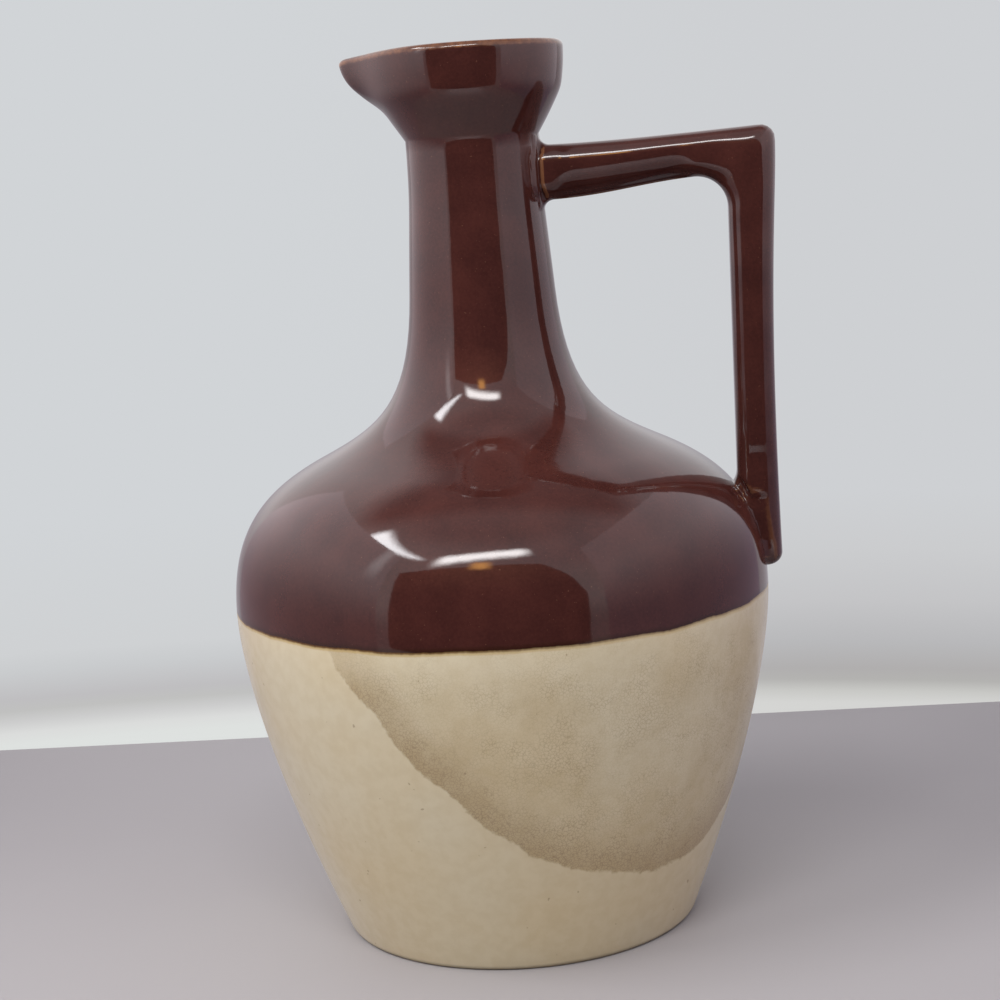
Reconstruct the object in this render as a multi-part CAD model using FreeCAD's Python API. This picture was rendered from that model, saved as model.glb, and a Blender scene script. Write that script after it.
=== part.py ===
import FreeCAD, Part
import os
from math import cos, exp, hypot, radians, sin, sqrt

from FreeCAD import Vector

# A stoneware jug in one piece: a thrown, hollow body with a tall neck, a flared
# collar whose rim is pinched out into a spout, and a squared handle luted to the
# neck and to the shoulder. Millimetres. +Z is up, the base stands on Z = 0, the
# neck's axis is the Z axis, the handle is towards +X and the spout towards -X.

# Body
height = 200.0
foot_radius = 40.7
foot_edge = 1.2             # rounding of the foot's edge
foot_lean = 0.4             # outward lean of the wall just above the foot
belly_radius = 61.2
belly_height = 76.3
shoulder_level = 0.475      # where the shoulder turns into the neck, from belly up to neck
shoulder_share = 0.542      # and from the neck's radius out to the belly's
shoulder_slope = 64.1       # degrees from upright at that turn
neck_length = 34.0          # the nearly straight part below the throat
neck_spread = 1.6           # how much wider the neck is at its lower end
neck_lean = 0.064           # inward lean of the wall there
throat_radius = 14.9        # narrowest place, where the collar starts
wall = 5.4
floor_thickness = 7.0
floor_corner = 8.0          # inside rounding between floor and wall

# Collar and spout
collar_height = 20.6        # from the throat to the rim
rim_radius = 21.5
rim_wall = 3.4
rim_slant = 2.0             # the inside of the flare sits this much higher than the outside
lip_edge = 1.5              # rounding of the lip
spout_reach = 7.3           # how far the spout stands out of the round rim
spout_dip = 1.5             # how far the lip falls towards the spout's point
spout_width = 12.5          # degrees in which the spout's flanks fall off
spout_point = 0.45          # roundness of the spout's point

# Handle: an upright bar and a level arm, cut from one slab
handle_width = 13.0
handle_edge = 2.7           # rounding of the slab's long edges
bar_proud = 3.2             # the bar's back stands out this far from the belly
bar_lean = 2.5              # and this much further at its top
bar_thickness = 9.1
bar_top_thickness = 10.7
arm_drop = 2.1              # top of the arm below the throat
arm_rise = 1.3              # the arm's top is this much higher at the corner
arm_root = 12.0             # depth of the arm at the neck
arm_depth = 10.4            # depth of the arm at the corner
outer_corner = 3.2
inner_corner = 7.0
tongue_rise = 3.4           # lower end of the bar above the widest place of the belly
tongue_edge = 3.0           # rounding of that end
neck_joint = 2.0            # fillet of clay round the arm's root
foot_joint = 2.2            # fillet of clay round the bar's foot

throat_height = height - collar_height
neck_base_height = throat_height - neck_length
bore_radius = throat_radius - wall


def edge(*points):
    """Line through two (x, z) points, or the Bezier curve over more of them."""
    vectors = [Vector(x, 0, z) for x, z in points]
    if len(vectors) == 2:
        return Part.makeLine(*vectors)
    bezier = Part.BezierCurve()
    bezier.setPoles(vectors)
    return bezier.toShape()


def turned(edges):
    """Solid of a closed XZ outline turned about the Z axis."""
    face = Part.Face(Part.Wire(edges))
    return face.revolve(Vector(0, 0, 0), Vector(0, 0, 1), 360)


def wall_line(inset):
    """Edges of the wall from foot to throat, moved into the clay by inset."""
    slope = radians(shoulder_slope)
    turn_height = belly_height + shoulder_level * (neck_base_height - belly_height)
    turn_radius = throat_radius + shoulder_share * (belly_radius - throat_radius)
    # radius, height, and the wall's upward direction there
    stations = [
        (foot_radius, 0.0, foot_lean, 1.0),
        (belly_radius, belly_height, 0.0, 1.0),
        (turn_radius, turn_height, -sin(slope), cos(slope)),
        (throat_radius + neck_spread, neck_base_height, -neck_lean, 1.0),
        (throat_radius, throat_height, 0.0, 1.0),
    ]
    # how far the curve keeps each end's direction, as shares of the distance
    pulls = [(0.51, 0.09), (0.5, 0.35), (0.37, 0.57), (0.65, 0.42)]
    moved = []
    for radius, level, out, up in stations:
        length = hypot(out, up)
        direction = Vector(out / length, 0, up / length)
        normal = Vector(-direction.z, 0, direction.x)
        moved.append((Vector(radius, 0, level) + normal * inset, direction))
    edges = []
    for (start, leaving), (end, arriving), (first, last) in zip(moved, moved[1:], pulls):
        span = (end - start).Length
        bezier = Part.BezierCurve()
        bezier.setPoles([start, start + leaving * first * span, end - arriving * last * span, end])
        edges.append(bezier.toShape())
    return edges


def neck_to_axis(wall_edges, top):
    """Wall edges closed to an outline that reaches up the throat to top."""
    low = wall_edges[0].Vertexes[0].Point
    high = wall_edges[-1].Vertexes[-1].Point
    outline = list(wall_edges)
    outline.append(edge((high.x, high.z), (high.x, top)))
    outline.append(edge((high.x, top), (0, top)))
    outline.append(edge((0, top), (0, low.z)))
    outline.append(edge((0, low.z), (low.x, low.z)))
    return outline


def flat_ring(solid, level):
    """The widest circular edge of a solid at a level."""
    rings = [ring for ring in solid.Edges
             if abs(ring.BoundBox.ZMin - level) < 0.001 and abs(ring.BoundBox.ZMax - level) < 0.001]
    return max(rings, key=lambda ring: ring.Length)


def pinch(angle):
    """Share of the spout's reach at an angle in degrees from the spout's point."""
    return exp(spout_point - sqrt((angle / spout_width) ** 2 + spout_point ** 2))


def collar_section(level, radius, reach):
    """Closed curve round the collar: a circle with the spout pulled out of it."""
    half = [0, 3, 6, 10, 15, 21, 28, 37, 48, 61, 76, 93, 112, 132, 156, 180]
    turns = half + [360 - angle for angle in reversed(half[1:-1])]
    points = []
    for turn in turns:
        out = radius + reach * pinch(min(turn, 360 - turn))
        points.append(Vector(-out * cos(radians(turn)), -out * sin(radians(turn)), level))
    ring = Part.BSplineCurve()
    ring.interpolate(Points=points, PeriodicFlag=True)
    return Part.Wire(ring.toShape())


def collar(inset, lift, throat):
    """Flare and rim as a loft, from inside the throat to a little above the rim."""
    # share of the collar's height, of its spread from throat to rim, and of the spout
    shape = [
        (-0.2, -0.4, 0.0),
        (0.03, 0.03, 0.0),
        (0.22, 0.39, 0.03),
        (0.37, 0.65, 0.12),
        (0.49, 0.83, 0.38),
        (0.62, 0.92, 0.68),
        (0.78, 0.98, 0.89),
        (1.0, 1.0, 1.0),
        (1.1, 1.0, 1.0),
    ]
    spread = rim_radius - inset - throat
    sections = []
    for rise, share, pull in shape:
        level = throat_height + lift + rise * collar_height
        sections.append(collar_section(level, throat + share * spread, pull * spout_reach))
    return Part.makeLoft(sections, True, False)


def handle():
    """Slab cut to an upright bar and an arm, with its long edges rounded."""
    back = belly_radius + bar_proud
    corner_back = back + bar_lean
    inside = back - bar_thickness
    corner_inside = corner_back - bar_top_thickness
    low = belly_height + tongue_rise
    arm_top = throat_height - arm_drop
    corner_top = arm_top + arm_rise
    corner_under = corner_top - arm_depth
    root = (throat_radius + bore_radius) / 2
    root_under = arm_top - arm_root
    buried = belly_radius - wall / 2
    reach = corner_inside - root
    drop = corner_top - low
    outline = [
        edge((root, arm_top), (root + 0.3 * reach, arm_top - 0.6),
             (root + 0.7 * reach, arm_top + 0.2), (corner_back, corner_top)),
        edge((corner_back, corner_top), (corner_back + 0.6, corner_top - 0.14 * drop),
             (back - 1.1, corner_top - 0.29 * drop), (back, low)),
        edge((back, low), (buried, low)),
        edge((buried, low), (inside, low + wall)),
        edge((inside, low + wall), (corner_inside, corner_under)),
        edge((corner_inside, corner_under), (root + 0.55 * reach, corner_under + 0.3),
             (root + 0.45 * reach, root_under + 0.2), (root, root_under)),
        edge((root, root_under), (root, arm_top)),
    ]
    face = Part.Face(Part.Wire(outline))
    face.translate(Vector(0, -handle_width / 2, 0))
    slab = face.extrude(Vector(0, handle_width, 0))
    corners = [
        (corner_back, corner_top, outer_corner),
        (corner_inside, corner_under, inner_corner),
        (back, low, tongue_edge),
    ]
    for x, z, rounding in corners:
        across = min(slab.Edges, key=lambda side: side.CenterOfMass.distanceToPoint(Vector(x, 0, z)))
        slab = slab.makeFillet(rounding, [across])
    long_edges = [side for side in slab.Edges
                  if side.BoundBox.YLength < 0.001 and side.CenterOfMass.x > root + 0.001]
    return slab.makeFillet(handle_edge, long_edges)


def seam(joined, first, second):
    """Edges of a joined solid that lie on the surfaces of both its pieces."""
    surfaces = [Part.makeShell(piece.Faces) for piece in (first, second)]
    found = []
    for side in joined.Edges:
        middle = side.valueAt((side.FirstParameter + side.LastParameter) / 2)
        spot = Part.Vertex(middle)
        if all(spot.distToShape(surface)[0] < 0.001 for surface in surfaces):
            found.append(side)
    return found


def cavity():
    """Inside of the body, the bore and the funnel of the collar."""
    inside = turned(neck_to_axis(wall_line(wall), throat_height + collar_height / 3))
    inside = inside.cut(Part.makeCylinder(belly_radius, 2 * floor_thickness, Vector(0, 0, -floor_thickness)))
    inside = inside.makeFillet(floor_corner, [flat_ring(inside, floor_thickness)])
    return inside.fuse(collar(rim_wall, rim_slant, bore_radius))


def above_the_lip():
    """What is trimmed off the rim: level, then falling gently to the spout's point."""
    far = rim_radius + 2
    point = -rim_radius - spout_reach
    low = height - spout_dip
    high = height + collar_height / 4
    outline = [
        edge((far, height), (0, height), (0.35 * point, height), (0.62 * point, height), (point, low)),
        edge((point, low), (point - 2, low)),
        edge((point - 2, low), (point - 2, high)),
        edge((point - 2, high), (far, high)),
        edge((far, high), (far, height)),
    ]
    trim = Part.Face(Part.Wire(outline))
    trim.translate(Vector(0, -far, 0))
    return trim.extrude(Vector(0, 2 * far, 0))


def jug():
    """The whole jug: body and collar, luted handle, hollow inside and rounded lip."""
    body = turned(neck_to_axis(wall_line(0.0), throat_height + collar_height / 3))
    body = body.makeFillet(foot_edge, [flat_ring(body, 0.0)])
    body = body.fuse(collar(0.0, 0.0, throat_radius))
    grip = handle()
    whole = body.fuse(grip)
    joints = seam(whole, body, grip)
    upper = [side for side in joints if side.CenterOfMass.z > neck_base_height]
    lower = [side for side in joints if side.CenterOfMass.z < neck_base_height]
    whole = whole.makeFillet(neck_joint, upper)
    whole = whole.makeFillet(foot_joint, lower)
    whole = whole.cut(cavity()).cut(above_the_lip())
    lip = max(whole.Faces, key=lambda face: face.BoundBox.ZMin)
    return whole.makeFillet(lip_edge, lip.Edges)


solid = jug()
print("jug: valid", solid.isValid(), "solids", len(solid.Solids), "volume cm3", round(solid.Volume / 1000, 1))
os.makedirs("parts", exist_ok=True)
solid.exportStep("parts/jug.step")
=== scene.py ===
import math

import bpy
from mathutils import Matrix, Vector
from mathutils.bvhtree import BVHTree


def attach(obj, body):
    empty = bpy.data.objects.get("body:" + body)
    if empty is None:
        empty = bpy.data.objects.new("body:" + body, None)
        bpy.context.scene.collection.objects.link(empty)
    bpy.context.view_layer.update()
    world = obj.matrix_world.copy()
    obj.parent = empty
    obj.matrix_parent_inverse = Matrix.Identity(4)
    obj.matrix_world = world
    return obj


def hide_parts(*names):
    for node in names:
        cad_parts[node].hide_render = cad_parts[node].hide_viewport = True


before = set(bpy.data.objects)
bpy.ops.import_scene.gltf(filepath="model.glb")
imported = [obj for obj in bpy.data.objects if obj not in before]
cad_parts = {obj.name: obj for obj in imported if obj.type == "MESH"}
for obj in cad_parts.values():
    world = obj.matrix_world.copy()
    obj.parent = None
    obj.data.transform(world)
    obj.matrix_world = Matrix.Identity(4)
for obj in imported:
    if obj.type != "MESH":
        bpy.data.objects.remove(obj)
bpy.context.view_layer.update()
print("stage: frame loaded")

mm = 0.001  # all sizes below are millimetres, Blender's are metres

# the thrown body, its collar and spout
body = {
    "height": 200.0,
    "footRadius": 40.7,
    "footEdge": 1.2,
    "footLean": 0.4,  # outward lean of the wall just above the foot
    "bellyRadius": 61.17,
    "bellyHeight": 76.3,
    "shoulderLevel": 0.475,  # where the shoulder turns into the neck, from belly up to neck
    "shoulderShare": 0.542,  # and from the neck's radius out to the belly's
    "shoulderSlope": 64.1,  # degrees from upright at that turn
    "neckLength": 34.0,
    "neckSpread": 1.6,  # how much wider the neck is at its lower end
    "neckLean": 0.064,
    "throatRadius": 14.9,
    "wall": 5.4,
    "floor": 7.0,
    "floorCorner": 8.0,
    "collarHeight": 20.6,
    "rimRadius": 21.5,
    "rimWall": 3.4,
    "rimSlant": 2.0,  # the inside of the flare sits this much higher than the outside
    "lipEdge": 1.5,
    "spoutReach": 7.27,
    "spoutDip": 1.5,  # how far the lip falls towards the spout's point
    "spoutWidth": 12.5,  # degrees in which its flanks fall off
    "spoutSpan": 85.0,  # degrees either side of it that are pulled at all
    "spoutPoint": 0.45,  # roundness of its point
    "turns": 240,  # faces round the body
}

throatHeight = body["height"] - body["collarHeight"]
neckBase = throatHeight - body["neckLength"]
boreRadius = body["throatRadius"] - body["wall"]


# small helpers

def onBezier(points, share):
    # point on a Bezier curve of any number of (x, z) poles
    poles = [Vector(p) for p in points]
    while len(poles) > 1:
        poles = [a.lerp(b, share) for a, b in zip(poles, poles[1:])]
    return poles[0]


def bezierRun(points, count):
    return [onBezier(points, i / count) for i in range(count + 1)]


def splineThrough(knots, values):
    # natural cubic spline, returned as a function
    n = len(knots)
    gaps = [knots[i + 1] - knots[i] for i in range(n - 1)]
    rises = [(values[i + 1] - values[i]) / gaps[i] for i in range(n - 1)]
    lower, diag, upper, right = [0.0] * n, [1.0] * n, [0.0] * n, [0.0] * n
    for i in range(1, n - 1):
        lower[i], diag[i], upper[i] = gaps[i - 1], 2 * (gaps[i - 1] + gaps[i]), gaps[i]
        right[i] = 6 * (rises[i] - rises[i - 1])
    for i in range(1, n):
        share = lower[i] / diag[i - 1]
        diag[i] -= share * upper[i - 1]
        right[i] -= share * right[i - 1]
    bend = [0.0] * n
    bend[-1] = right[-1] / diag[-1]
    for i in range(n - 2, -1, -1):
        bend[i] = (right[i] - upper[i] * bend[i + 1]) / diag[i]

    def at(x):
        i = max(j for j in range(n - 1) if j == 0 or knots[j] <= x)
        a, b = x - knots[i], knots[i + 1] - x
        g = gaps[i]
        return (bend[i] * b ** 3 + bend[i + 1] * a ** 3) / (6 * g) + \
            (values[i] / g - bend[i] * g / 6) * b + (values[i + 1] / g - bend[i + 1] * g / 6) * a
    return at


def eased(share):
    share = max(0.0, min(1.0, share))
    return share * share * (3 - 2 * share)


def activate(thing):
    if bpy.context.mode != "OBJECT":
        bpy.ops.object.mode_set(mode="OBJECT")
    bpy.ops.object.select_all(action="DESELECT")
    thing.select_set(True)
    bpy.context.view_layer.objects.active = thing


def edit(thing, kind):
    activate(thing)
    bpy.ops.object.mode_set(mode="EDIT")
    bpy.ops.mesh.select_mode(type=kind)


def finishEdit():
    bpy.ops.object.mode_set(mode="OBJECT")


def applyModifier(thing, kind, name, **settings):
    activate(thing)
    made = thing.modifiers.new(name, kind)
    for key, value in settings.items():
        setattr(made, key, value)
    bpy.ops.object.modifier_apply(modifier=made.name)


def push(thing, name, shareOf, direction, distance):
    # moves each point by its share of a distance; both are in millimetres
    group = thing.vertex_groups.new(name=name)
    for vertex in thing.data.vertices:
        share = shareOf(vertex.co / mm)
        if share > 0.0005:
            group.add([vertex.index], share, "REPLACE")
    applyModifier(thing, "DISPLACE", name, direction=direction, mid_level=0.0,
                  strength=distance * mm, vertex_group=group.name)


# the wall's outline

def wallRuns(inset, counts):
    slope = math.radians(body["shoulderSlope"])
    turnHeight = body["bellyHeight"] + body["shoulderLevel"] * (neckBase - body["bellyHeight"])
    turnRadius = body["throatRadius"] + body["shoulderShare"] * (body["bellyRadius"] - body["throatRadius"])
    stations = [  # radius, height and the wall's upward direction
        (body["footRadius"], 0.0, body["footLean"], 1.0),
        (body["bellyRadius"], body["bellyHeight"], 0.0, 1.0),
        (turnRadius, turnHeight, -math.sin(slope), math.cos(slope)),
        (body["throatRadius"] + body["neckSpread"], neckBase, -body["neckLean"], 1.0),
        (body["throatRadius"], throatHeight, 0.0, 1.0),
    ]
    # how far each run follows the directions at its two ends, as shares of its span
    pulls = [(0.51, 0.16), (0.5, 0.35), (0.37, 0.57), (0.65, 0.42)]
    moved = []
    for radius, level, out, up in stations:
        direction = Vector((out, up)).normalized()
        moved.append((Vector((radius, level)) + Vector((-direction.y, direction.x)) * inset, direction))
    points = []
    for (start, leaving), (end, arriving), (first, last), count in zip(moved, moved[1:], pulls, counts):
        span = (end - start).length
        run = bezierRun([start, start + leaving * first * span, end - arriving * last * span, end], count)
        points += run if not points else run[1:]
    return points


def wallRadius(level):
    # outer radius of the wall at a level, up to the throat
    for low, high in zip(wallLine, wallLine[1:]):
        if low.y <= level <= high.y:
            return low.x + (high.x - low.x) * (level - low.y) / (high.y - low.y)
    return body["throatRadius"]


wallLine = wallRuns(0.0, [120, 120, 60, 40])

# share of the collar's height, of its spread from throat to rim, and of the spout
collarRows = [
    (-0.2, -0.4, 0.0), (0.03, 0.03, 0.0), (0.22, 0.39, 0.03),
    (0.37, 0.65, 0.12), (0.49, 0.83, 0.38), (0.62, 0.92, 0.68),
    (0.78, 0.98, 0.89), (1.0, 1.0, 1.0), (1.1, 1.0, 1.0),
]
collarRises, collarSpreads, collarPulls = zip(*collarRows)
collarSpread = splineThrough(collarRises, collarSpreads)
collarPull = splineThrough(collarRises, collarPulls)


def collarRun(inset, lift, throat, low, high, count):
    # points up the flare at one side of the collar, between two levels
    points = []
    for i in range(count + 1):
        level = low + (high - low) * i / count
        rise = (level - throatHeight - lift) / body["collarHeight"]
        spread = body["rimRadius"] - inset - throat
        points.append(Vector((throat + collarSpread(rise) * spread, level)))
    return points


def quarter(start, corner, end, count):
    # rounded corner between two points
    pull = 0.5523  # brings the curve close to a quarter of a circle
    poles = [start, start.lerp(corner, pull), end.lerp(corner, pull), end]
    return bezierRun(poles, count)


def jugOutline():
    # from the middle of the base up the outside, over the lip and down the inside to the floor
    foot = Vector((body["footRadius"], 0.0))
    upward = Vector((body["footLean"], 1.0)).normalized()
    taken = 0.68 * body["footEdge"]
    points = [Vector((radius, 0.0)) for radius in (0.0, 14.0, 28.0, 37.0)]
    points += bezierRun([foot - Vector((taken, 0.0)), foot, foot + upward * taken], 5)
    outer = wallRuns(0.0, [38, 34, 18, 18])
    points += [p for p in outer if p.y > 1.6 and p.y < throatHeight - 0.3]
    top, lip, lift = body["height"], body["lipEdge"], body["rimSlant"]
    outerLip = body["rimRadius"]
    innerLip = body["rimRadius"] - body["rimWall"] - 0.04
    lipStart = top - lip - 0.6
    points += collarRun(0.0, 0.0, body["throatRadius"], throatHeight + 0.35, lipStart, 25)
    points += quarter(Vector((outerLip, top - lip)), Vector((outerLip, top)),
                      Vector((outerLip - lip, top)), 6)
    points += quarter(Vector((innerLip + lip, top)), Vector((innerLip, top)),
                      Vector((innerLip, top - lip)), 6)
    points += collarRun(body["rimWall"], lift, boreRadius, throatHeight + lift + 0.4, lipStart, 20)[::-1]
    floor = body["floor"]
    inside = wallRuns(body["wall"], [22, 20, 12, 8])
    corner = next(p for p in inside if p.y > floor)
    floorPoint = Vector((corner.x, floor))
    reach = 0.69 * body["floorCorner"]
    above = next(p for p in inside if p.y > floor + 0.94 * reach)
    points += [p for p in inside[::-1] if p.y > above.y]
    points += bezierRun([above, floorPoint, floorPoint - Vector((reach, 0.0))], 6)
    points += [Vector((radius, floor)) for radius in (20.0, 8.0, 0.0)]
    return points


def throwBody():
    outline = jugOutline()
    bpy.ops.object.select_all(action="DESELECT")
    bpy.ops.mesh.primitive_plane_add(size=mm, location=(0, 0, 0))
    thing = bpy.context.object
    thing.name = "stoneware_jug"
    edit(thing, "VERT")
    bpy.ops.mesh.select_all(action="SELECT")
    bpy.ops.mesh.merge(type="CENTER")
    place = outline[0]
    for point in outline[1:]:
        step = point - place
        bpy.ops.mesh.extrude_vertices_move(
            TRANSFORM_OT_translate={"value": (step.x * mm, 0, step.y * mm)})
        place = point
    bpy.ops.mesh.select_all(action="SELECT")
    bpy.ops.mesh.spin(steps=body["turns"], angle=2 * math.pi, center=(0, 0, 0), axis=(0, 0, 1))
    bpy.ops.mesh.select_all(action="SELECT")
    bpy.ops.mesh.remove_doubles(threshold=0.01 * mm)
    bpy.ops.mesh.normals_make_consistent(inside=False)
    finishEdit()
    return thing


# collar and spout

def pinch(degrees):
    point = body["spoutPoint"]
    return math.exp(point - math.sqrt((degrees / body["spoutWidth"]) ** 2 + point ** 2))


def spoutShare(place):
    # how much of the spout's reach a point of the collar gets
    if place.z < throatHeight - 2:
        return 0.0
    radius = math.hypot(place.x, place.y)
    angle = abs(math.degrees(math.atan2(place.y, -place.x)))
    inside = radius < middleRadius(place.z)
    rise = (place.z - throatHeight - (body["rimSlant"] if inside else 0.0)) / body["collarHeight"]
    if angle > body["spoutSpan"] or rise < 0:
        return 0.0
    pull = max(0.0, min(1.0, collarPull(rise)))
    return pull * pinch(angle) / max(0.3, math.cos(math.radians(angle)))


def middleRadius(level):
    # middle of the collar's wall, which thickens a little towards the throat
    rise = (level - throatHeight) / body["collarHeight"]
    spread = body["rimRadius"] - body["throatRadius"]
    outer = body["throatRadius"] + collarSpread(rise) * spread
    return outer - 0.5 * body["rimWall"] - 0.8 * max(0.0, 1 - rise)


def dipShare(place):
    # how much of the lip's fall a point gets: all at the spout's point, none at the middle
    tip = body["rimRadius"] + body["spoutReach"]
    low = throatHeight + 0.55 * body["collarHeight"]
    if place.x > 0 or place.z < low:
        return 0.0
    span = (place.z - low) / (body["height"] - low)
    reach = min(1.0, -place.x / tip)
    poles = [(0.0, 0), (0.0, 0), (0.35, 0), (0.62, 0), (1.0, 0)]
    share = min(range(101), key=lambda i: abs(onBezier(poles, i / 100).x - reach)) / 100
    return span * share ** 4


def pullSpout(thing):
    push(thing, "spout", spoutShare, "X", -body["spoutReach"])
    push(thing, "dip", dipShare, "Z", -body["spoutDip"])


# the squared handle
handle = {
    "width": 13.0,
    "edge": 4.1,
    "edgeFaces": 10,
    "sideFaces": 14,
    "crown": 0.26,  # how far its section goes towards a round one
    "wobble": 0.03,  # how much its width wavers
    "barProud": 3.5,  # the bar's back stands out this far from the belly
    "barLean": 2.2,  # and this much further at its top
    "barThickness": 9.6,
    "barTopThickness": 10.7,
    "barBow": 0.6,  # its back swells out below the corner
    "barHollow": 1.1,  # and draws in again lower down
    "armDrop": 2.1,  # top of the arm below the throat
    "armRise": 1.3,  # its top is this much higher at the corner
    "armRoot": 12.4,  # depth of the arm at the neck
    "armDepth": 10.4,  # and at the corner
    "armSag": 0.6,
    "armSwell": 0.2,  # how far its top and its underside bulge
    "outerCorner": 3.2,
    "innerCorner": 7.0,
    "tongueRise": 3.4,  # lower end of the bar above the belly's widest place
    "tongueEdge": 3.0,
    "rootRadius": 10.8,  # how deep the arm starts inside the neck
    "joint": 2.6,  # clay gathered at the top of the joints
    "groove": 2.4,  # the sides draw in this near the body
    "grooveNeck": 1.7,
    "grooveDepth": 0.8,
    "pad": 0.9,  # slip squeezed out against the neck
    "padReach": 0.8,
    "underCut": 3.0,  # how far the arm's lower half leans in
    "underStart": 14.0,  # and where along the arm it does
    "underEnd": 52.0,
    "underLevel": 150.0,
    "turnCentre": (46.0, 157.0),  # the sections fan out from here at the corner
    "jointEnd": 22.0,  # and stand closer together up to here
    "jointSections": 32,
    "armSections": 24,
    "turnSections": 40,
}
tongueEnd = body["bellyHeight"] + handle["tongueRise"]


def roundedCorner(before, corner, after, rounding, count):
    # arc that replaces a corner between two straight-ish runs
    inward, outward = (before - corner).normalized(), (after - corner).normalized()
    turning = math.pi - inward.angle(outward)
    taken = rounding * math.tan(turning / 2)
    pull = 4 / 3 * math.tan(turning / 4) * rounding
    start, end = corner + inward * taken, corner + outward * taken
    return bezierRun([start, start - inward * pull, end - outward * pull, end], count)


def trimmed(points, corner, rounding):
    # points that a rounded corner leaves free
    return [p for p in points if (p - corner).length > 1.02 * rounding]


def handleOutlines():
    # outer and inner line of the handle, from the neck to the shoulder
    back = body["bellyRadius"] + handle["barProud"]
    cornerBack = back + handle["barLean"]
    inside = back - handle["barThickness"]
    cornerInside = cornerBack - handle["barTopThickness"]
    armTop = throatHeight - handle["armDrop"]
    cornerTop = armTop + handle["armRise"]
    cornerUnder = cornerTop - handle["armDepth"]
    root = (body["throatRadius"] + boreRadius) / 2
    rootUnder = armTop - handle["armRoot"]
    reach = cornerInside - root
    drop = cornerTop - tongueEnd
    outerCorner = Vector((cornerBack, cornerTop))
    innerCorner = Vector((cornerInside, cornerUnder))
    end = Vector((back, tongueEnd))
    swell = handle["armSwell"]
    top = bezierRun([(root, armTop), (root + 0.3 * reach, armTop - handle["armSag"]),
                     (root + 0.7 * reach, armTop + swell), outerCorner], 80)
    bar = bezierRun([outerCorner, (cornerBack + handle["barBow"], cornerTop - 0.14 * drop),
                     (back - handle["barHollow"], cornerTop - 0.29 * drop), end], 160)
    under = bezierRun([innerCorner, (root + 0.55 * reach, cornerUnder - swell),
                       (root + 0.45 * reach, rootUnder - swell), (root, rootUnder)], 80)[::-1]
    inner = bezierRun([innerCorner, Vector((inside, tongueEnd + body["wall"]))], 120)
    outer = [Vector((handle["rootRadius"], armTop))]
    outer += trimmed(top, outerCorner, handle["outerCorner"])
    outer += roundedCorner(top[-8], outerCorner, bar[6], handle["outerCorner"], 16)
    outer += trimmed(trimmed(bar, outerCorner, handle["outerCorner"]), end, handle["tongueEdge"])
    outer += roundedCorner(bar[-8], end, end - Vector((9, 0)), handle["tongueEdge"], 12)
    nearer = [Vector((handle["rootRadius"], rootUnder))]
    nearer += trimmed(under, innerCorner, handle["innerCorner"])
    nearer += roundedCorner(under[-12], innerCorner, inner[10], handle["innerCorner"], 16)
    nearer += trimmed(inner, innerCorner, handle["innerCorner"])
    return outer, nearer


def crossing(line, start, direction):
    # farthest point where a ray meets a line of points
    side = Vector((-direction.y, direction.x))
    found = None
    for a, b in zip(line, line[1:]):
        da, db = (a - start).dot(side), (b - start).dot(side)
        if da * db <= 0 and da != db:
            point = a.lerp(b, da / (da - db))
            along = (point - start).dot(direction)
            if along > 0 and (found is None or along > found[0]):
                found = (along, point)
    return found[1]


def handleSections():
    # pairs of (outer, inner) points from the neck round the corner and down the bar
    outer, nearer = handleOutlines()
    pivot = Vector(handle["turnCentre"])
    root, freeArm, edge = handle["rootRadius"], handle["jointEnd"], handle["tongueEdge"]
    joint, arm, turn = handle["jointSections"], handle["armSections"], handle["turnSections"]
    stations = [root + (freeArm - root) * i / joint for i in range(joint)]
    stations += [freeArm + (pivot.x - freeArm) * i / arm for i in range(arm)]
    rays = [(Vector((x, pivot.y)), Vector((0, 1))) for x in stations]
    for i in range(turn):
        angle = math.pi / 2 * (1 - i / turn)
        rays.append((pivot, Vector((math.cos(angle), math.sin(angle)))))
    pairs = [(crossing(outer, *ray), crossing(nearer, *ray)) for ray in rays]
    # down the bar at every millimetre, then closer together, and closest at the tongue's rounded end
    levels = [pivot.y - i for i in range(42)]
    levels += [levels[-1] - 0.6 * i for i in range(1, 54)]
    levels = [z for z in levels if z > tongueEnd + edge]
    levels += [tongueEnd + edge * share for share in
               (1.0, 0.86, 0.72, 0.58, 0.46, 0.35, 0.25, 0.16, 0.09, 0.04, 0.0)]
    lowest = nearer[-1].y
    for z in levels:
        start, direction = Vector((30.0, z)), Vector((1, 0))
        buried = wallRadius(z) - 0.5 * body["wall"]
        inside = crossing(nearer, start, direction).x if z > lowest + 0.05 else buried
        pairs.append((crossing(outer, start, direction), Vector((max(inside, buried), z))))
    return pairs


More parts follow.
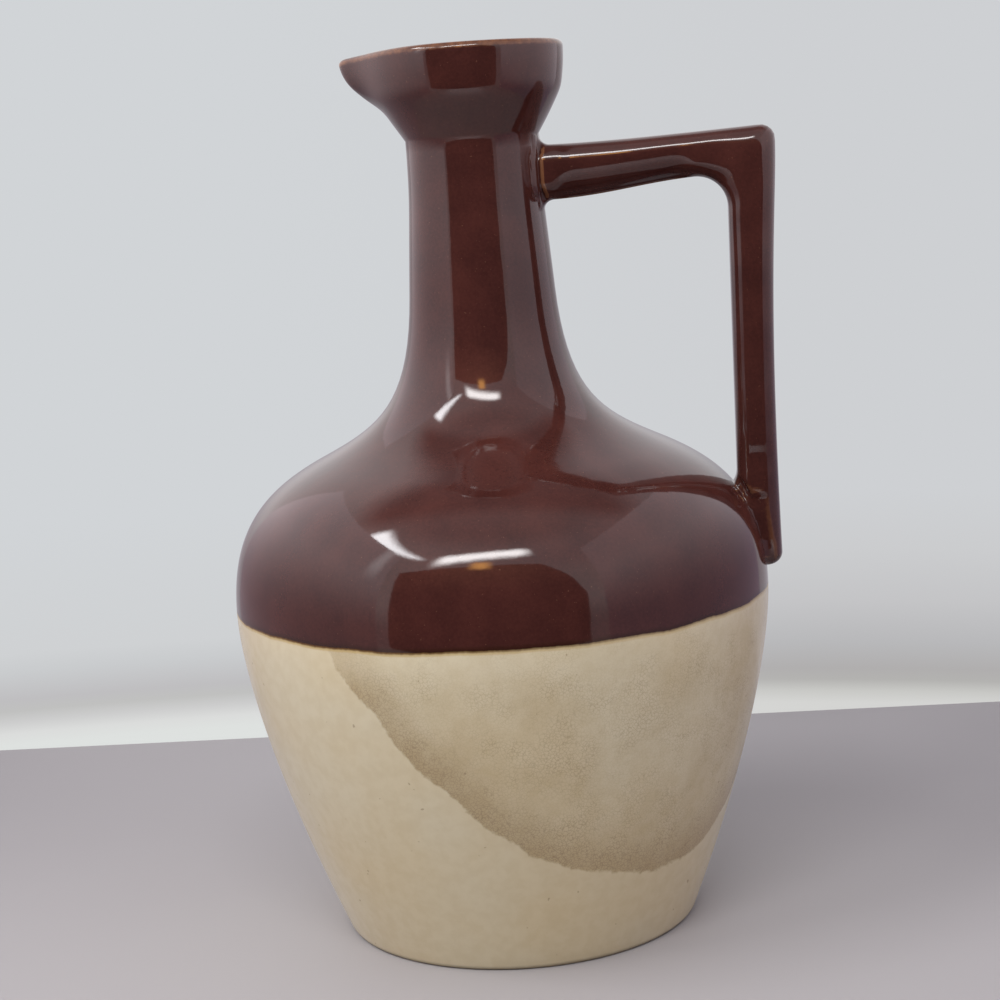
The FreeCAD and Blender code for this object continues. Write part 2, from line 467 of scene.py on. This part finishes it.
def sectionFace(centre, depth):
    # rounded and slightly crowned face that the handle is pulled from
    edge, width = handle["edge"], handle["width"]
    bpy.ops.object.select_all(action="DESELECT")
    bpy.ops.mesh.primitive_plane_add(size=mm, location=centre, rotation=(0, math.pi / 2, 0))
    thing = bpy.context.object
    thing.name = "handle"
    bpy.ops.object.transform_apply(location=True, rotation=True, scale=True)
    edit(thing, "VERT")
    bpy.ops.mesh.select_all(action="SELECT")
    bpy.ops.transform.resize(value=(1, width, depth), center_override=centre)
    bpy.ops.mesh.bevel(affect="VERTICES", offset=edge * mm, segments=handle["edgeFaces"], profile=0.5)
    bpy.ops.mesh.select_all(action="DESELECT")
    finishEdit()
    for side in thing.data.edges:
        a, b = (thing.data.vertices[i].co for i in side.vertices)
        side.select = (a - b).length > 1.5 * edge * mm
    edit(thing, "EDGE")
    bpy.ops.mesh.subdivide(number_cuts=handle["sideFaces"] - 1)
    bpy.ops.mesh.select_mode(type="FACE")
    bpy.ops.mesh.select_all(action="SELECT")
    bpy.ops.transform.tosphere(value=handle["crown"])
    finishEdit()
    wide = 2 * max(abs(v.co.y) for v in thing.data.vertices) / mm
    tall = 2 * max(abs(v.co.z - centre[2]) for v in thing.data.vertices) / mm
    edit(thing, "FACE")
    bpy.ops.mesh.select_all(action="SELECT")
    bpy.ops.transform.resize(value=(1, width / wide, depth / tall), center_override=centre)
    return thing


def widthShare(i, rise):
    # the wavering width of a section, which narrows to the tongue's rounded end
    edge, half = handle["edge"], handle["width"] / 2
    if rise < edge:
        return 1 - (edge - math.sqrt(edge ** 2 - min(edge, edge - rise) ** 2)) / half
    waves = math.sin(0.19 * i) * 0.6 + math.sin(0.43 * i + 1.0) * 0.4
    return 1.0 + handle["wobble"] * waves * eased((rise - 6) / 10)


def pullHandle():
    pairs = handleSections()
    first = pairs[0][0] - pairs[0][1]
    middle = (pairs[0][0] + pairs[0][1]) / 2
    thing = sectionFace((middle.x * mm, 0, middle.y * mm), first.length)
    lean, length, across = math.pi / 2, first.length, 1.0
    for i, (outer, inner) in enumerate(pairs[1:]):
        span = outer - inner
        step = (outer + inner) / 2 - middle
        bpy.ops.mesh.extrude_region_move(TRANSFORM_OT_translate={"value": (step.x * mm, 0, step.y * mm)})
        middle = (outer + inner) / 2
        pivot = (middle.x * mm, 0, middle.y * mm)
        axis = Vector((math.cos(lean), 0, math.sin(lean)))
        frameNow = Matrix((axis, Vector((0, 1, 0)), axis.cross(Vector((0, 1, 0)))))
        narrow = widthShare(i, outer.y - tongueEnd)
        bpy.ops.transform.resize(value=(span.length / length, narrow / across, 1), center_override=pivot,
                                 orient_matrix=frameNow.transposed(), orient_matrix_type="GLOBAL",
                                 orient_type="GLOBAL")
        length, across = span.length, narrow
        leanNow = math.atan2(span.y, span.x)
        if abs(leanNow - lean) > 1e-6:
            bpy.ops.transform.rotate(value=leanNow - lean, orient_axis="Y", center_override=pivot)
            lean = leanNow
    finishEdit()
    middles = [((outer + inner) / 2, (outer - inner).length / 2) for outer, inner in pairs]
    for side in (-1, 1):
        push(thing, "under", lambda place: leaningIn(place, side, middles), "Y", -side * handle["underCut"])
        thing.vertex_groups.clear()
    return thing


def leaningIn(place, side, middles):
    # the arm's lower half slopes away from each side to a narrower underside
    start, end, flat = handle["underStart"], handle["underEnd"], 1.5
    if place.y * side < flat or not start <= place.x <= end or place.z < handle["underLevel"]:
        return 0.0
    middle, half = min(middles, key=lambda pair: abs(pair[0].x - place.x))
    below = (middle.y + 0.04 * half - place.z) / half
    along = eased((place.x - start) / 9) * eased((end - place.x) / 8)
    return max(0.0, min(1.0, below)) * along * min(1.0, (abs(place.y) - flat) / 3.0)


def luteHandle(thing, onto):
    # clay and glaze gathered round both ends, then one body of jug and handle
    points = [v.co for v in onto.data.vertices]
    tree = BVHTree.FromPolygons(points, [p.vertices for p in onto.data.polygons])

    def nearness(place):
        near, normal, _, _ = tree.find_nearest(place * mm)
        return (place * mm - near).dot(normal) / mm

    def beside(place):
        # one on the strap's two sides, none over its top and under it
        return eased((abs(place.y) - 3.2) / 2.2)

    def gathered(place):
        left = 1 - max(nearness(place), 0.0) / handle["joint"]
        if left <= 0 or place.z < tongueEnd + 12:
            return 0.0
        return (1 - math.sqrt(1 - left ** 2)) * (1 - beside(place))

    def drawn(place):
        # the square end stands off the wall, with a dark groove round it
        share = nearness(place) / handle["grooveNeck" if place.z > neckBase else "groove"]
        hollow = eased((1 - share) / 0.28) * eased((share + 0.25) / 0.6)
        return hollow * beside(place) * eased((place.z - tongueEnd - 1) / 5)

    def squeezed(place):
        share = max(nearness(place), 0.0) / handle["pad"]
        if share >= 1 or place.z <= neckBase:
            return 0.0
        return math.sqrt(1 - share * share) * beside(place)

    push(thing, "joint", gathered, "NORMAL", handle["joint"])
    push(thing, "groove", drawn, "NORMAL", -handle["grooveDepth"])
    push(thing, "pad", squeezed, "NORMAL", handle["padReach"])
    applyModifier(onto, "BOOLEAN", "handle", operation="UNION", solver="EXACT", object=thing)
    bpy.data.objects.remove(thing)
    edit(onto, "VERT")
    bpy.ops.mesh.select_all(action="SELECT")
    bpy.ops.mesh.remove_doubles(threshold=0.02 * mm)
    bpy.ops.mesh.dissolve_degenerate(threshold=0.01 * mm)
    finishEdit()


def markEdges(thing):
    # how sharply the surface turns outwards at each vertex, where glaze runs thin
    vertices = thing.data.vertices
    sharp = [0.0] * len(vertices)
    for side in thing.data.edges:
        a, b = (vertices[i] for i in side.vertices)
        along = (b.co - a.co) / mm
        if along.length > 0.03:
            turn = (b.normal - a.normal).dot(along) / along.length_squared
            sharp[a.index] = max(sharp[a.index], turn)
            sharp[b.index] = max(sharp[b.index], turn)
    for vertex in vertices:  # slip fills the joint at the neck
        place = vertex.co / mm
        if place.x > 0 and neckBase < place.z < throatHeight:
            clear = math.hypot(place.x, place.y) - wallRadius(place.z)
            sharp[vertex.index] *= eased((clear - 1.1) / 0.3)
            sharp[vertex.index] *= 1 - 0.6 * eased((place.x - 18) / 3)
    mark = thing.data.attributes.new("edge", "FLOAT", "POINT")
    mark.data.foreach_set("value", sharp)


jug = throwBody()
print("stage: body thrown", len(jug.data.polygons), "faces")
pullSpout(jug)
print("stage: spout pulled")
grip = pullHandle()
print("stage: handle pulled", len(grip.data.polygons), "faces")
luteHandle(grip, jug)
activate(jug)
bpy.ops.object.shade_smooth()
markEdges(jug)
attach(jug, "root")
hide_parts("jug")
print("stage: handle luted on", len(jug.data.polygons), "faces")

# shading tools

def paint(*screenColour):
    # screen colour 0..255 to the linear colour that shaders use
    shares = [value / 255 for value in screenColour]
    return tuple(s / 12.92 if s <= 0.04 else ((s + 0.055) / 1.055) ** 2.4 for s in shares) + (1,)


class Flow:
    # a value that runs through a shader; sums on it make Math nodes
    def __init__(self, tree, socket=None):
        self.tree, self.socket = tree, socket

    def node(self, kind, settings=None, values=None, out=0):
        made = self.tree.nodes.new("ShaderNode" + kind)
        for name, value in (settings or {}).items():
            if name == "stops":
                ramp = made.color_ramp.elements
                while len(ramp) < len(value):
                    ramp.new(0.5)
                for stop, (place, colour) in zip(ramp, value):
                    stop.position, stop.color = place, colour
            else:
                setattr(made, name, value)
        for name, value in (values or {}).items():
            if isinstance(value, Flow):
                self.tree.links.new(value.socket, made.inputs[name])
            else:
                made.inputs[name].default_value = value
        return Flow(self.tree, made.outputs[out] if made.outputs else None)

    def maths(self, operation, first, second=0.0):
        return self.node("Math", {"operation": operation}, {0: first, 1: second})

    def __add__(self, other):
        return self.maths("ADD", self, other)

    def __sub__(self, other):
        return self.maths("SUBTRACT", self, other)

    def __rsub__(self, other):
        return self.maths("SUBTRACT", other, self)

    def __mul__(self, other):
        return self.maths("MULTIPLY", self, other)

    __radd__ = __add__

    def absolute(self):
        return self.maths("ABSOLUTE", self)

    def step(self, low, high, start=0.0, end=1.0):
        # eased ramp from start to end while the value goes from low to high
        return self.node("MapRange", {"interpolation_type": "SMOOTHSTEP"},
                         {"Value": self, "From Min": low, "From Max": high, "To Min": start, "To Max": end})

    def mix(self, first, second):
        # colour between two, by this value
        return self.node("Mix", {"data_type": "RGBA"}, {0: self, 6: first, 7: second}, out=2)

    def tint(self, colour, factor):
        # colour multiplied in by a factor
        return self.node("Mix", {"data_type": "RGBA", "blend_type": "MULTIPLY"},
                         {0: factor, 6: self, 7: colour}, out=2)

    def grain(self, scale, detail):
        # soft noise about 0.5; self is a place, scale is in lumps per millimetre
        return self.node("TexNoise", None, {"Vector": self, "Scale": scale, "Detail": detail})


def newShader(name):
    # empty material, and the place on its piece in millimetres
    material = bpy.data.materials.new(name)
    material.use_nodes = True
    tree = material.node_tree
    tree.nodes.clear()
    flow = Flow(tree)
    metres = flow.node("TexCoord", out=3)
    return material, flow, flow.node("VectorMath", {"operation": "SCALE"}, {0: metres, "Scale": 1 / mm})


def finishShader(flow, colour, roughness, height=None, strength=0.0, distance=0.0):
    # the surface of a material, with fine relief where a height is given; the distance is in metres
    values = {"Base Color": colour, "Roughness": roughness}
    if height:
        values["Normal"] = flow.node("Bump", None, {"Height": height, "Strength": strength,
                                                    "Distance": distance})
    shader = flow.node("BsdfPrincipled", None, values)
    flow.node("OutputMaterial", None, {"Surface": shader})


def splitPlace(place):
    return [place.node("SeparateXYZ", None, {0: place}, out=i) for i in range(3)]


# glazes

glaze = {
    "line": 76.2,  # where the brown dip ends
    "lineLean": -0.0085,
    "dark": paint(55, 28, 25),
    "red": paint(72, 38, 33),
    "thin": paint(124, 82, 56),  # brown over an edge
    "thick": paint(42, 24, 12),  # brown gathered at its lower edge
    "ironSpeck": paint(122, 84, 66),
    "ochre": paint(186, 158, 98),
    "olive": paint(96, 66, 26),
    "cream": paint(216, 206, 178),
    "creamWarm": paint(214, 198, 162),
    "creamCloud": paint(249, 247, 243),
    "creamSpeck": paint(128, 100, 72),
    # brown of the bare foot edge, darkened further as painted contact shadow
    "footEdgeAndPaintedShadow": paint(92, 76, 54),
    "stainNormal": (-0.5973, 0.6193, -0.510),  # the stain's edge is a level that liquid once stood at
    "stainPlace": -51.6,
    "stain": paint(238, 233, 224),
    "stainRim": paint(219, 209, 194),
    "crack": paint(140, 120, 92),
    "clay": paint(176, 150, 118),
    "clayDark": paint(150, 124, 94),
}


def glazeLine(place, x, z):
    # height above the wavering lower edge of the brown glaze, in millimetres
    wave = place.grain(0.09, 1.0) * 0.9 + place.grain(0.9, 2.0) * 0.3
    return z - x * glaze["lineLean"] - glaze["line"] - wave


def brownGlaze(place, above, z):
    # dark and even, with fine iron specks, paler where an edge shows through
    mottle = place.grain(0.12, 3.0) * 0.6 + place.grain(1.6, 2.0) * 0.4
    brown = mottle.step(0.25, 0.75).mix(glaze["dark"], glaze["red"])
    speck = place.grain(2.2, 1.0).step(0.73, 0.8)
    brown = (speck * 0.45).mix(brown, glaze["ironSpeck"])
    edge = place.node("Attribute", {"attribute_name": "edge"}, out=2)
    ragged = edge + place.grain(0.8, 2.0) * 0.3 - 0.15
    high = z.step(100.0, 140.0, 0.35, 0.85)
    brown = (ragged.step(0.5, 0.85) * high).mix(brown, glaze["thin"])
    return (above.step(0.1, 1.3, 1.0, 0.0) * 0.7).mix(brown, glaze["thick"])


def stainOver(place, cream, z):
    # old liquid stain under the clear glaze, with its net of fine cracks
    toEdge = place.node("VectorMath", {"operation": "DOT_PRODUCT"},
                        {0: place, 1: glaze["stainNormal"]}, out=1)
    ragged = place.grain(0.06, 1.0) * 5.0 + place.grain(0.7, 2.0) * 1.3 - 3.15
    inside = glaze["stainPlace"] - toEdge + ragged
    mask = inside.step(-0.35, 0.45) * z.step(66.0, 76.0, 1.0, 0.45)
    rim = inside.step(0.0, 11.0, 1.0, 0.0)
    blotch = place.grain(0.07, 3.0).step(0.35, 0.7)
    sway = place.node("TexNoise", None, {"Vector": place, "Scale": 1.1}, out=1)
    swayed = place.node("VectorMath", {"operation": "ADD"}, {0: place, 1: sway})
    cells = place.node("TexVoronoi", {"feature": "DISTANCE_TO_EDGE"},
                       {"Vector": swayed, "Scale": 1.35, "Randomness": 1.0})
    crack = cells.step(0.0, 0.12, 1.0, 0.0)
    patchy = place.grain(0.13, 3.0).step(0.38, 0.66)
    stained = cream.tint(glaze["stain"], 0.4 + blotch * 0.5)
    stained = (rim * 0.75).mix(stained, stained.tint(glaze["stainRim"], 1.0))
    stained = (crack * (0.12 + patchy * 0.28 + rim * 0.3)).mix(stained, glaze["crack"])
    return mask.mix(cream, stained)


def creamGlaze(place, above, x, z):
    # warm clay under clear glaze, a few brown specks
    warm = place.grain(0.03, 2.0).step(0.32, 0.7) * 0.6 + z.step(8.0, 50.0, 0.4, 0.0)
    cream = warm.mix(glaze["cream"], glaze["creamWarm"])
    cream = cream.tint(glaze["creamCloud"], place.grain(0.35, 4.0).step(0.3, 0.7))
    cream = (place.grain(0.55, 1.0).step(0.765, 0.8) * 0.45).mix(cream, glaze["creamSpeck"])
    cream = stainOver(place, cream, z)
    # pale ochre and then olive where the brown thins out, fainter towards the handle
    strong = x.step(-30.0, 35.0, 1.0, 0.6)
    cream = (above.step(-1.1, -0.5) * strong * 0.75).mix(cream, glaze["ochre"])
    cream = (above.step(-0.55, -0.1) * strong).mix(cream, glaze["olive"])
    # darker over the foot's lowest millimetre: its bare edge, and painted contact shadow under it
    return z.step(0.3, 1.3, 0.6, 0.0).mix(cream, glaze["footEdgeAndPaintedShadow"])


def makeGlaze():
    material, flow, place = newShader("twoToneGlaze")
    x, _, z = splitPlace(place)
    above = glazeLine(place, x, z)
    brownMask = above.step(-0.1, 0.16)
    colour = brownMask.mix(creamGlaze(place, above, x, z), brownGlaze(place, above, z))
    ripple = place.grain(0.55, 2.0) * 0.35 + place.grain(0.16, 1.0)
    finishShader(flow, colour, brownMask.step(0.0, 1.0, 0.2, 0.055), ripple, 0.35, 0.00006)
    return material


def makeInside():
    material, flow, place = newShader("insideGlaze")
    brown = place.grain(0.12, 3.0).step(0.3, 0.7).mix(glaze["dark"], glaze["red"])
    finishShader(flow, brown, 0.09, place.grain(0.4, 2.0), 0.4, 0.00008)
    return material


def makeClay():
    material, flow, place = newShader("bareClay")
    grit = place.grain(0.9, 4.0)
    clay = grit.step(0.3, 0.7).mix(glaze["clay"], glaze["clayDark"])
    finishShader(flow, clay, 0.75, grit, 0.5, 0.0002)
    return material


def finishSlots(thing):
    # two-tone glaze outside, brown inside below the throat, bare clay under the foot
    for material in (makeGlaze(), makeInside(), makeClay()):
        thing.data.materials.append(material)
    for face in thing.data.polygons:
        centre = face.center / mm
        radius = math.hypot(centre.x, centre.y)
        if centre.z < 0.25 and face.normal.z < -0.9:
            face.material_index = 2
        elif centre.z > 5 and centre.z < throatHeight and radius < wallRadius(centre.z) - 0.5 * body["wall"]:
            face.material_index = 1
        else:
            face.material_index = 0


finishSlots(jug)
print("stage: glazes")

# table, tent and lamps
studio = {
    "tableBack": 154.0,
    "tableFront": -340.0,
    "tableHalf": 1500.0,
    "tableTurn": -1.2,  # degrees
    "tableNear": paint(165, 162, 163),
    # the table's far and right side, as painted shade
    "tablePaintedShade": paint(141, 138, 140),
    # painted light on the table close in front
    "tableLit": paint(226, 222, 224),
    "tableCloud": paint(248, 247, 248),
    "wallPlace": 235.0,  # the tent's lit sides
    "wallFront": -240.0,
    "wallBack": 260.0,
    "wallTop": 385.0,
    "wallLeftFoot": (0.4, 0.35, 0.4, 1),  # linear light, as are the next twelve
    "wallLeftTop": (1.5, 1.42, 1.49, 1),
    "wallRightFoot": (0.33, 0.29, 0.38, 1),
    "wallRightTop": (1.2, 1.13, 1.21, 1),
    "ceilingLeft": (1.2, 1.17, 1.19, 1),
    "ceilingRight": (0.8, 0.8, 0.85, 1),
    "ceilingMiddle": (0.62, 0.6, 0.62, 1),
    "ceilingBack": (0.22, 0.21, 0.22, 1),
    "backLeft": (1.12, 1.13, 1.15, 1),
    "backRight": (0.98, 0.99, 1.02, 1),
    "backFoot": (0.48, 0.46, 0.5, 1),
    "roomDark": (0.025, 0.025, 0.03, 1),
    "roomWarm": (0.42, 0.22, 0.13, 1),
    "opening": -600.0,  # its dark open front, as the glaze sees it
    "openingLeft": -540.0,
    "openingRight": 490.0,
    "openingFoot": -300.0,
    "openingTop": 582.0,
    "seam": -229.0,  # a lit seam beside the left wall
    "stripHeight": 745.0,  # of the lamp at the left
    "stripWidth": 125.0,
    "power": 15.0,
}
# the wall behind, as the camera sees it from its foot up, at the left and at the right
backdropLeft = [
    (0.10, paint(222, 225, 223)), (0.145, paint(219, 220, 219)), (0.19, paint(205, 205, 205)),
    (0.235, paint(192, 192, 191)), (0.28, paint(191, 190, 192)), (0.39, paint(201, 203, 205)),
    (0.467, paint(207, 209, 211)), (1.0, paint(209, 212, 215)),
]
backdropRight = [
    (0.12, paint(212, 212, 210)), (0.168, paint(200, 200, 197)), (0.214, paint(179, 178, 176)),
    (0.26, paint(176, 174, 174)), (0.368, paint(184, 184, 186)), (0.538, paint(196, 196, 198)),
    (0.755, paint(203, 204, 206)), (1.0, paint(206, 208, 211)),
]


def makeCard(name, low, high):
    # upright or level rectangle between two corners, in millimetres
    bpy.ops.object.select_all(action="DESELECT")
    low, high = Vector(low) * mm, Vector(high) * mm
    flat = min(range(3), key=lambda i: high[i] - low[i])
    turn = ((0, math.pi / 2, 0), (math.pi / 2, 0, 0), (0, 0, 0))[flat]
    bpy.ops.mesh.primitive_plane_add(size=1, location=(0, 0, 0), rotation=turn)
    card = bpy.context.object
    card.name = name
    bpy.ops.object.transform_apply(location=True, rotation=True, scale=True)
    edit(card, "VERT")
    bpy.ops.mesh.select_all(action="SELECT")
    sides = [max(b - a, mm) for a, b in zip(low, high)]
    bpy.ops.transform.resize(value=sides, center_override=(0, 0, 0))
    bpy.ops.transform.translate(value=(low + high) / 2)
    finishEdit()
    return card


def makeTable():
    half = studio["tableHalf"]
    table = makeCard("table", (-half, studio["tableFront"], 0), (half, studio["tableBack"], 0))
    edit(table, "VERT")
    bpy.ops.mesh.select_all(action="SELECT")
    bpy.ops.transform.rotate(value=math.radians(studio["tableTurn"]), orient_axis="Z",
                             center_override=(0, studio["tableBack"] * mm, 0))
    finishEdit()
    material, flow, place = newShader("tableTop")
    x, y, _ = splitPlace(place)
    # painted shade: greyer towards the back and to the right; painted light: bright close in front
    far = y.step(-50.0, 110.0)
    tone = (far * 0.55 + far * x.step(0.0, 110.0) * 0.5).mix(studio["tableNear"], studio["tablePaintedShade"])
    front = y.step(-300.0, -140.0, 1.0, 0.0) * x.absolute().step(70.0, 150.0, 1.0, 0.0)
    tone = front.mix(tone, studio["tableLit"]).tint(studio["tableCloud"], place.grain(0.012, 2.0))
    finishShader(flow, tone, 0.7)
    table.data.materials.append(material)


def backdrop(x, z):
    # seen by the camera: pale wall, a grey fold of painted shade and a white band at its foot, and painted
    # shade that makes it greyer to the right
    height = z + x * 0.031
    level = height.node("MapRange", None, {"Value": height, "From Min": -0.28, "From Max": -0.17})
    left = level.node("ValToRGB", {"stops": backdropLeft}, {0: level})
    right = level.node("ValToRGB", {"stops": backdropRight}, {0: level})
    return x.step(-0.22, 0.08).mix(left, right)


def tentLight(x, y, z):
    # seen by the jug: ceiling brighter to the left, dark over the back, back wall dimmer low down
    ceiling = x.step(-0.6, 0.6).mix(studio["ceilingLeft"], studio["ceilingRight"])
    ceiling = z.step(0.8, 0.97).mix(ceiling, studio["ceilingMiddle"])
    ceiling = (z.step(0.74, 0.88) * y.step(-0.05, 0.25)).mix(ceiling, studio["ceilingBack"])
    upper = x.step(-0.6, 0.2).mix(studio["backLeft"], studio["backRight"])
    back = z.step(-0.1, 0.2).mix(studio["backFoot"], upper)
    return z.step(0.45, 0.7).mix(back, ceiling)


def makeWorld():
    world = bpy.data.worlds.new("tent")
    bpy.context.scene.world = world
    world.use_nodes = True
    world.node_tree.nodes.clear()
    flow = Flow(world.node_tree)
    x, y, z = splitPlace(flow.node("TexCoord"))
    seen = flow.node("LightPath").mix(tentLight(x, y, z), backdrop(x, z))
    background = flow.node("Background", None, {"Color": seen, "Strength": 1.0})
    flow.node("OutputWorld", None, {"Surface": background})


def glowing(card, glowOf, coverOf=None):
    # card that only the jug and the table see, clear where it has no cover
    material, flow, place = newShader(card.name)
    spot = splitPlace(place)
    shader = flow.node("Emission", None, {"Color": glowOf(*spot), "Strength": 1.0})
    if coverOf:
        clear = flow.node("BsdfTransparent", None, {"Color": (1, 1, 1, 1)})
        shader = flow.node("MixShader", None, {0: coverOf(*spot), 1: clear, 2: shader})
        card.visible_diffuse = False
    flow.node("OutputMaterial", None, {"Surface": shader})
    card.data.materials.append(material)
    card.visible_camera = False
    card.visible_shadow = False


def makeWalls():
    place, front, back, top = (studio[name] for name in ("wallPlace", "wallFront", "wallBack", "wallTop"))
    for name, side in (("wallLeft", -1), ("wallRight", 1)):
        card = makeCard(name, (side * place, front, 0), (side * place, back, top))
        glowing(card, lambda x, y, z: z.step(50.0, 230.0).mix(studio[name + "Foot"], studio[name + "Top"]))


def makeOpening():
    # dark card at the open front, its right corner cut off twice, with a warm room light near its top
    front = studio["opening"]
    card = makeCard("tentOpening", (studio["openingLeft"], front, studio["openingFoot"]),
                    (studio["openingRight"], front, studio["openingTop"]))
    edit(card, "VERT")
    for x, z, out, up in ((260, 582, 0.72, 0.69), (405, 430, 0.9, 0.43)):
        bpy.ops.mesh.select_all(action="SELECT")
        bpy.ops.mesh.bisect(plane_co=(x * mm, 0, z * mm), plane_no=(out, 0, up), clear_outer=True)
    finishEdit()

    def roomLight(x, y, z):
        warm = z.step(230.0, 570.0) * (x + 50.0).absolute().step(60.0, 420.0, 1.0, 0.35)
        return warm.mix(studio["roomDark"], studio["roomWarm"])
    glowing(card, roomLight)


def even(red, green, blue):
    # a glow that is the same all over its card
    return lambda x, y, z: x.node("CombineColor", None, {0: red, 1: green, 2: blue})


def makeGlows():
    # what the glaze mirrors of the strip lamps, of a lit seam and of a warm light: soft edged
    front = studio["opening"]

    def frontCover(x, y, z):
        across = (z - (793.6 + x * 0.2212)).absolute()
        return across.step(15.0, 140.0, 1.0, 0.0) * x.step(-365.0, -250.0) * x.step(150.0, 270.0, 1.0, 0.0)
    card = makeCard("glowFront", (-420, front, 585), (320, front, 1000))
    glowing(card, even(21.0, 20.5, 20.5), frontCover)

    def sideCover(x, y, z):
        middle = (y + 250.0) * (y + 250.0) * 0.0008 - 478.0
        inside = y.step(-540.0, -80.0, 30.0, 66.0) - (x - middle).absolute()
        return inside.step(-32.0, 46.0) * y.step(-590.0, -480.0) * y.step(-100.0, -30.0, 1.0, 0.0)
    card = makeCard("glowSide", (-700, -680, studio["stripHeight"]), (-300, 40, studio["stripHeight"]))
    glowing(card, even(18.0, 18.0, 18.5), sideCover)

    def seamCover(x, y, z):
        return (y + 182.0).absolute().step(4.0, 34.0, 0.9, 0.0) * z.step(190.0, 280.0)
    card = makeCard("glowSeam", (studio["seam"], -225, 180), (studio["seam"], -140, 384))
    glowing(card, even(3.4, 3.3, 3.4), seamCover)

    def warmCover(x, y, z):
        across, up = (x + 50.0).absolute(), (z - 585.0).absolute()
        return across.step(10.0, 80.0, 1.0, 0.0) * up.step(18.0, 85.0, 1.0, 0.0)
    card = makeCard("glowWarm", (-200, front + 5, 430), (100, front + 5, 720))
    glowing(card, even(9.0, 4.2, 1.2), warmCover)


def makeLamp(name, start, end, width, strength):
    # strip lamp between two points, facing the jug; the glaze mirrors a glowing card instead
    start, end = Vector(start) * mm, Vector(end) * mm
    middle = (start + end) / 2
    along = (end - start).normalized()
    towards = (Vector((0, 0, 0.1)) - middle).normalized()
    across = along.cross(towards).normalized()
    towards = across.cross(along).normalized()
    data = bpy.data.lights.new(name, "AREA")
    data.shape = "RECTANGLE"
    data.size, data.size_y = (end - start).length, width * mm
    data.energy = strength * data.size * data.size_y * math.pi
    lamp = bpy.data.objects.new(name, data)
    lamp.visible_glossy = False
    turn = Matrix((along, across, -towards)).transposed()
    if turn.determinant() < 0:
        turn = Matrix((-along, across, -towards)).transposed()
    lamp.matrix_world = Matrix.Translation(middle) @ turn.to_4x4()
    bpy.context.scene.collection.objects.link(lamp)


makeTable()
makeWorld()
makeWalls()
makeOpening()
makeGlows()
level, width, power = studio["stripHeight"], studio["stripWidth"], studio["power"]
makeLamp("stripFront", (-310, -600, 725), (210, -600, 840), width, 1.3 * power)
makeLamp("stripSide", (-427, -87, level), (-498, -528, level), width * 1.2, 0.8 * power)
print("stage: studio")

# view
view = {
    "place": (0.04156, -0.47498, 0.17890),  # metres
    "turn": 4.897,  # degrees, as the next two
    "tilt": 9.705,
    "roll": -3.82,
    "lens": 75.74,
}


def placeCamera():
    data = bpy.data.cameras.new("view")
    data.lens = view["lens"]
    camera = bpy.data.objects.new("view", data)
    turn = Matrix.Rotation(math.radians(view["turn"]), 4, "Z")
    tilt = Matrix.Rotation(math.radians(90 - view["tilt"]), 4, "X")
    roll = Matrix.Rotation(math.radians(view["roll"]), 4, "Z")
    camera.matrix_world = Matrix.Translation(view["place"]) @ turn @ tilt @ roll
    bpy.context.scene.collection.objects.link(camera)
    bpy.context.scene.camera = camera


placeCamera()
bpy.context.scene.view_settings.view_transform = "Standard"
print("stage: view")
